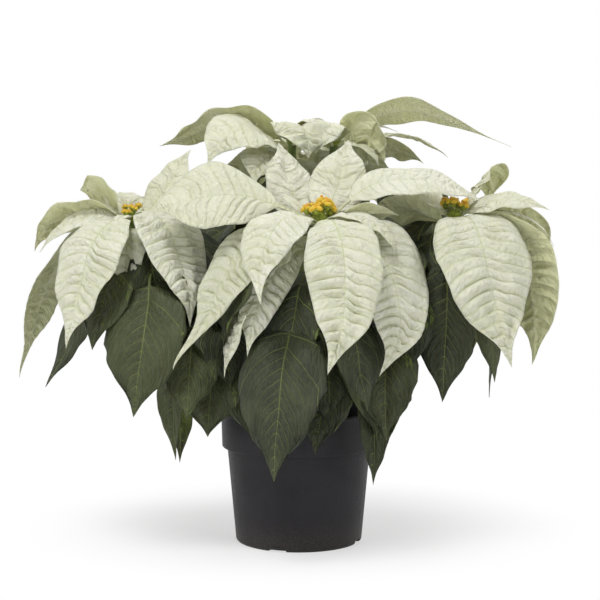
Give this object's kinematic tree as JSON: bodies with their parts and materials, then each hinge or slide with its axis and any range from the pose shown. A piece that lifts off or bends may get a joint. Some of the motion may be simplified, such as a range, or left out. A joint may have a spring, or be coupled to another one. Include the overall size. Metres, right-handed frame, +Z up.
{
  "type": "potted poinsettia",
  "caption": "White poinsettia in a plain black plastic nursery pot: pale pleated bracts around small yellow flower clusters, over dark green hanging leaves.",
  "frame": {"origin": "Middle of the underside of the pot's base, on the surface that the pot stands on.", "axes": "+Z up, the plant's front faces -Y, +X to the right as seen from the front."},
  "size_m": [0.44, 0.3013, 0.3698],
  "materials": {
    "pot_plastic": "satin charcoal, moulded",
    "peat": "matte, crumbly",
    "stem_skin": "satin, green skin",
    "flower_cups": "soft satin",
    "white_bract": "matte, creamy white",
    "green_leaf": "soft satin, dark green"
  },
  "bodies": {
    "root": {"pot": "pot_plastic", "soil": "peat", "stem": "stem_skin", "cyathia_a": "flower_cups", "cyathia_b": "flower_cups", "cyathia_c": "flower_cups", "cyathia_d": "flower_cups", "cyathia_e": "flower_cups", "bract_a1": "white_bract", "bract_a2": "white_bract", "bract_a3": "white_bract", "bract_a4": "white_bract", "bract_a5": "white_bract", "bract_a6": "white_bract", "bract_a7": "white_bract", "bract_a8": "white_bract", "bract_a9": "white_bract", "bract_a10": "white_bract", "bract_b1": "white_bract", "bract_b2": "white_bract", "bract_b3": "white_bract", "bract_b4": "white_bract", "bract_b5": "white_bract", "bract_b6": "white_bract", "bract_b7": "white_bract", "bract_c1": "white_bract", "bract_c2": "white_bract", "bract_c3": "white_bract", "bract_c4": "white_bract", "bract_c5": "white_bract", "bract_c6": "white_bract", "bract_d1": "white_bract", "bract_d2": "white_bract", "bract_d3": "white_bract", "bract_d4": "white_bract", "bract_d5": "white_bract", "bract_d6": "white_bract", "bract_e1": "white_bract", "bract_e2": "white_bract", "bract_e3": "white_bract", "bract_e4": "white_bract", "bract_e5": "white_bract", "bract_e6": "white_bract", "leaf_01": "green_leaf", "leaf_02": "green_leaf", "leaf_03": "green_leaf", "leaf_04": "green_leaf", "leaf_05": "green_leaf", "leaf_06": "green_leaf", "leaf_07": "green_leaf", "leaf_08": "green_leaf", "leaf_09": "green_leaf", "leaf_10": "green_leaf", "leaf_11": "green_leaf", "leaf_12": "green_leaf", "leaf_13": "green_leaf", "leaf_14": "green_leaf", "leaf_15": "green_leaf", "leaf_16": "green_leaf"}
  },
  "joints": []
}
